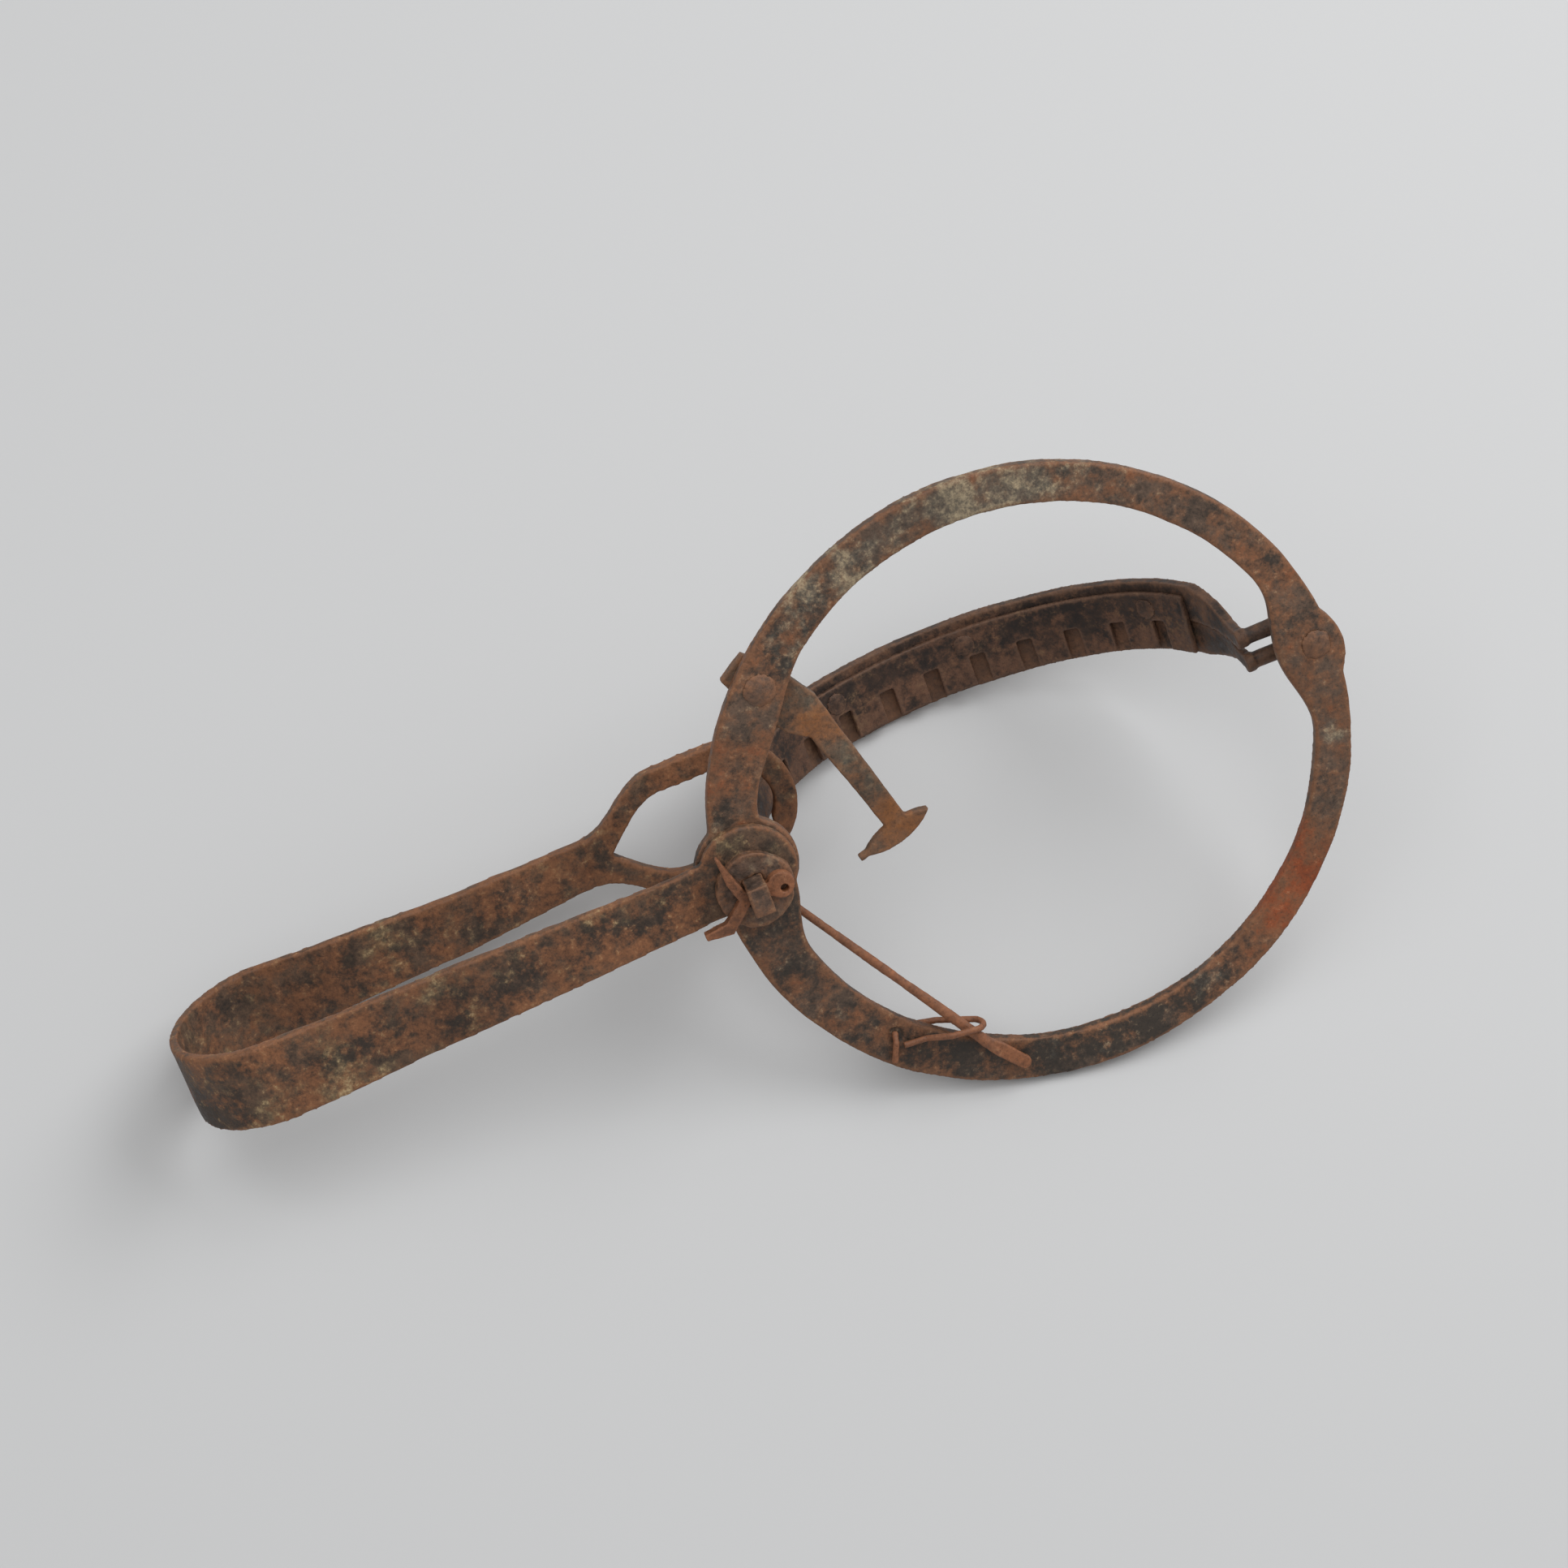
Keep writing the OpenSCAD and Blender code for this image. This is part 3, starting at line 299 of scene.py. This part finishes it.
# The jaws: two bands of iron bent to an arch, their legs drawn out to round prongs that turn in the posts.
# The upper one is the thicker. Both are dark inside, where rust kept damp, and browner on their edges.
TEETH_RADIUS = 121
TEETH_CENTRE = (-12, -6)
TEETH_SIDE = 8
TEETH_ROW = [on_trap(TEETH_RADIUS * math.cos(turn) + TEETH_CENTRE[0], TEETH_SIDE,
                     TEETH_RADIUS * math.sin(turn) + TEETH_CENTRE[1])
             for turn in map(math.radians, range(48, 130, 9))]

# Wrought iron that stayed damp: nearly black scale, lighter rust-brown along the row of teeth: painted
# light, lifting the shade in the gaps between the teeth.
jaw_iron = rusted_iron(
    "jaw_iron_dark_rust", "#281d18",
    [("scale", "#46342a", 0.55, 1), ("rust", "#684027", 0.26, 0.8), ("bloom", "#5d5347", 0.1, 0.6),
     ("edge", "#6d4e3a", 0.38, 0.8), ("crust", "#7d6a52", 0.04, 0.5)],
    [(point, 17, "rust", 0.22) for point in TEETH_ROW])
for jaw_node, jaw_body in (("jaw_upper", "jaw_a"), ("jaw_lower", "jaw_b")):
    jaw = forge(take_copy("forged_" + jaw_node, [jaw_node]), grain=0.65, wear=4,
                marks=[("CLOUDS", 22, 0.8), ("CLOUDS", 2.4, 0.1)])
    dress(jaw, jaw_iron, jaw_body, [jaw_node])

# The toothed strip: thin sheet iron riveted inside the upper jaw, its square teeth lapping the lower jaw.
# Its rivets have low hammered heads on the inside.
# Sheared sheet iron: flat dark scale, with red-brown rust on the teeth.
strip_iron = rusted_iron(
    "sheet_iron_dark_scale", "#251b16",
    [("scale", "#422f24", 0.5, 1), ("rust", "#6f4226", 0.27, 0.85), ("edge", "#664a39", 0.36, 0.8),
     ("crust", "#7d6549", 0.06, 0.6)],
    [(point, 15, "rust", 0.09) for point in TEETH_ROW])
strip = forge(take_copy("toothed_strip", ["tooth_strip"]), grain=0.5, wear=2,
              marks=[("CLOUDS", 14, 0.5), ("CLOUDS", 2, 0.12)])
dress(strip, strip_iron, "jaw_a", ["tooth_strip"])
rivets = forge(take_copy("strip_rivet_heads", ["strip_rivets"]), grain=0.35, wear=3,
               marks=[("CLOUDS", 3, 0.35)])
dress(rivets, strip_iron, "jaw_a", ["strip_rivets"])

# The spring: one strap of steel, folded over at its bend. Its lower end is a disc on the near post's tenon,
# its upper end is split and forged to an eye that slides up round the jaws and holds them shut.
LOWER_LEAF_SLOPE = 0.055
LOWER_LEAF_RISE = 3
UPPER_LEAF_FACE = 57
PATCH_STEP = 16
BEND_FACE = on_trap(-338, 10, 4)
SPRING_DISC = on_trap(NEAR_POST, 0, -4)
STRAP_MIDDLE = [on_trap(x, 0, LOWER_LEAF_SLOPE * x + LOWER_LEAF_RISE) for x in range(-290, -140, PATCH_STEP)]
STRAP_MIDDLE += [on_trap(x, 0, UPPER_LEAF_FACE) for x in range(-290, -190, PATCH_STEP)]

# Forged spring steel: mottled brown rust with pale dried crust, darker down the strap's middle and at its
# bend, and greyer in a few patches. Its palest flecks are painted glints.
spring_steel = rusted_iron(
    "spring_steel_mottled_rust", "#372c24",
    [("scale", "#614a39", 0.62, 1), ("rust", "#7b4a2c", 0.38, 0.85), ("bloom", "#6f614a", 0.16, 0.8),
     # The palest crust flecks here are painted glints.
     ("edge", "#805538", 0.38, 0.85), ("crust", "#8f7a57", 0.06, 0.65), ("crust", "#b09b76", -0.15, 0.8),
     ("fleck", "#a18c69", 0.02, 0.8)],
    [(point, 15, "scale", -0.12) for point in STRAP_MIDDLE]
    + [(on_trap(-286, 12, -14), 24, "bloom", 0.16), (on_trap(-240, -10, -11), 20, "bloom", 0.1),
       (on_trap(-262, -6, UPPER_LEAF_FACE), 18, "bloom", 0.1), (BEND_FACE, 46, "scale", -0.2),
       (BEND_FACE, 46, "rust", -0.12), (on_trap(-318, 8, -10), 22, "bloom", 0.16),
       (SPRING_DISC, 40, "rust", -0.14), (SPRING_DISC, 36, "scale", -0.06)])
spring = forge(take_copy("spring_strap", ["spring_lower_leaf", "spring_upper_leaf"]), grain=0.85, wear=8,
               marks=[("CLOUDS", 34, 1.3), ("VORONOI", 20, -0.4), ("CLOUDS", 3, 0.1)])
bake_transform(spring)
dress(spring, spring_steel, None, ["spring_lower_leaf", "spring_upper_leaf"])

# The washer: a rough iron plate, punched for the near post's tenon and pressed on the spring's disc.
# Rust has swelled and rounded it, and it has the posts' finish.
washer = forge(take_copy("washer", ["spring_washer"]), grain=0.45, wear=20,
               marks=[("CLOUDS", 11, 2.4), ("CLOUDS", 4, 0.6)])
dress(washer, post_iron, "base", ["spring_washer"])

# The cotter: a strip of iron folded on itself, pushed through the tenon and spread on the spring's side.
# It holds washer, spring and ring together on the near post.
# Soft iron, thin and rusted all over: orange-brown, with little dark scale left.
wire_iron = rusted_iron(
    "soft_iron_orange_rust", "#4c3325",
    [("scale", "#704933", 0.74, 1), ("rust", "#8f5836", 0.45, 0.8), ("edge", "#8f5d40", 0.4, 0.8),
     ("crust", "#9a7a5c", 0.06, 0.5)])
cotter = forge(take_copy("split_cotter", ["cotter"]), grain=0.4, wear=3,
               marks=[("CLOUDS", 6, 0.5), ("CLOUDS", 1.8, 0.25)])
dress(cotter, wire_iron, "base", ["cotter"])

# The pan arm: a flat bar riveted behind the ring, bent at its elbow, with a pointed crossbar.
# The heads of its rivet were hammered low, and have the posts' finish.
# Flat wrought bar: grey-brown, with two patches of orange rust.
arm_iron = rusted_iron(
    "arm_iron_grey_brown", "#372f28",
    [("scale", "#5b4b3d", 0.66, 1), ("rust", "#834f2e", 0.28, 0.85), ("bloom", "#6a6457", 0.26, 0.75),
     ("edge", "#7b583f", 0.38, 0.75), ("rust", "#86542b", 0.1, 0.85), ("crust", "#87785f", 0.06, 0.5)],
    [(on_trap(-72, -42, RING_THICKNESS), 16, "rust", 0.2),
     (on_trap(-58, 9, RING_THICKNESS), 20, "rust", 0.22)])
arm = forge(take_copy("pan_arm_bar", ["pan_arm"]), grain=0.5, wear=5,
            marks=[("CLOUDS", 15, 0.8), ("CLOUDS", 2.4, 0.2)])
dress(arm, arm_iron, "base", ["pan_arm"])
arm_rivet = forge(take_copy("pan_arm_rivet_heads", ["pan_arm_rivet"]), grain=0.4, wear=14,
                  marks=[("CLOUDS", 6, 0.7), ("CLOUDS", 2, 0.2)])
dress(arm_rivet, post_iron, "base", ["pan_arm_rivet"])

# The dog: a thin iron rod drawn to a point, its other end hammered flat. A bent wire ties it to the ring,
# loosely, so that it swings. Both are of the cotter's soft iron.
dog = forge(take_copy("dog_rod_drawn", ["dog_rod"]), grain=0.4, wear=2,
            marks=[("CLOUDS", 20, 0.6), ("CLOUDS", 2, 0.25)])
dress(dog, wire_iron, "dog", ["dog_rod"])
tie = forge(take_copy("tie_wire", ["dog_link"]), grain=0.3, wear=6,
            marks=[("CLOUDS", 6, 0.3), ("CLOUDS", 1.5, 0.15)])
dress(tie, wire_iron, "base", ["dog_link"])

# The floor: smooth and painted a pale grey, as in a studio, and not part of the trap.
# Soft light falls on it from above and from the right, in a pale room.
FLOOR_SIDE = 8
bpy.ops.object.select_all(action="DESELECT")
bpy.ops.mesh.primitive_plane_add(size=FLOOR_SIDE)
floor = bpy.context.object
floor.name = "studio_floor"
# Matt floor paint: one even pale grey with hardly any gloss.
floor_paint = bpy.data.materials.new("matt_grey_floor_paint")
floor_paint.use_nodes = True
floor_surface = floor_paint.node_tree.nodes["Principled BSDF"]
floor_surface.inputs["Base Color"].default_value = linear("#cbcccd")
floor_surface.inputs["Roughness"].default_value = 0.85
floor_surface.inputs["Specular IOR Level"].default_value = 0.2
floor.data.materials.append(floor_paint)

scene = bpy.context.scene
scene.view_settings.view_transform = "Standard"
world = bpy.data.worlds.new("soft_room")
world.use_nodes = True
world.node_tree.nodes["Background"].inputs["Color"].default_value = linear("#f7f6f5")
world.node_tree.nodes["Background"].inputs["Strength"].default_value = 0.45
scene.world = world
for lamp_name, place, side, power in (("window_right", (1.3, 0.5, 1.6), 1.4, 22),
                                      ("ceiling", (-0.5, 0.2, 2.4), 2.0, 21)):
    lamp = bpy.data.lights.new(lamp_name, "AREA")
    lamp.size = side
    lamp.energy = power
    holder = bpy.data.objects.new(lamp_name, lamp)
    holder.location = place
    holder.rotation_euler = (-Vector(place)).to_track_quat("-Z", "Y").to_euler()
    scene.collection.objects.link(holder)

# The camera looks down on the lying trap from its spring's side, a little rolled.
# Its distance and its long lens give the photograph's perspective.
LOOK_AT = (0.03447, 0.06073, 0)
VIEW_DISTANCE = 1.4927
VIEW_AZIMUTH = 28.75
VIEW_ELEVATION = 66.51
VIEW_ROLL = 7.93
SENSOR = 36
PICTURE_WIDTH = 1932
FOCAL_PIXELS = 4500
azimuth = math.radians(VIEW_AZIMUTH)
elevation = math.radians(VIEW_ELEVATION)
forward = Vector((math.sin(azimuth) * math.cos(elevation), math.cos(azimuth) * math.cos(elevation),
                  -math.sin(elevation)))
camera_data = bpy.data.cameras.new("camera")
camera_data.sensor_width = SENSOR
camera_data.lens = SENSOR * FOCAL_PIXELS / PICTURE_WIDTH
camera = bpy.data.objects.new("camera", camera_data)
camera.location = Vector(LOOK_AT) - VIEW_DISTANCE * forward
roll = Quaternion(forward, math.radians(-VIEW_ROLL))
camera.rotation_euler = (roll @ forward.to_track_quat("-Z", "Y")).to_euler()
scene.collection.objects.link(camera)
scene.camera = camera
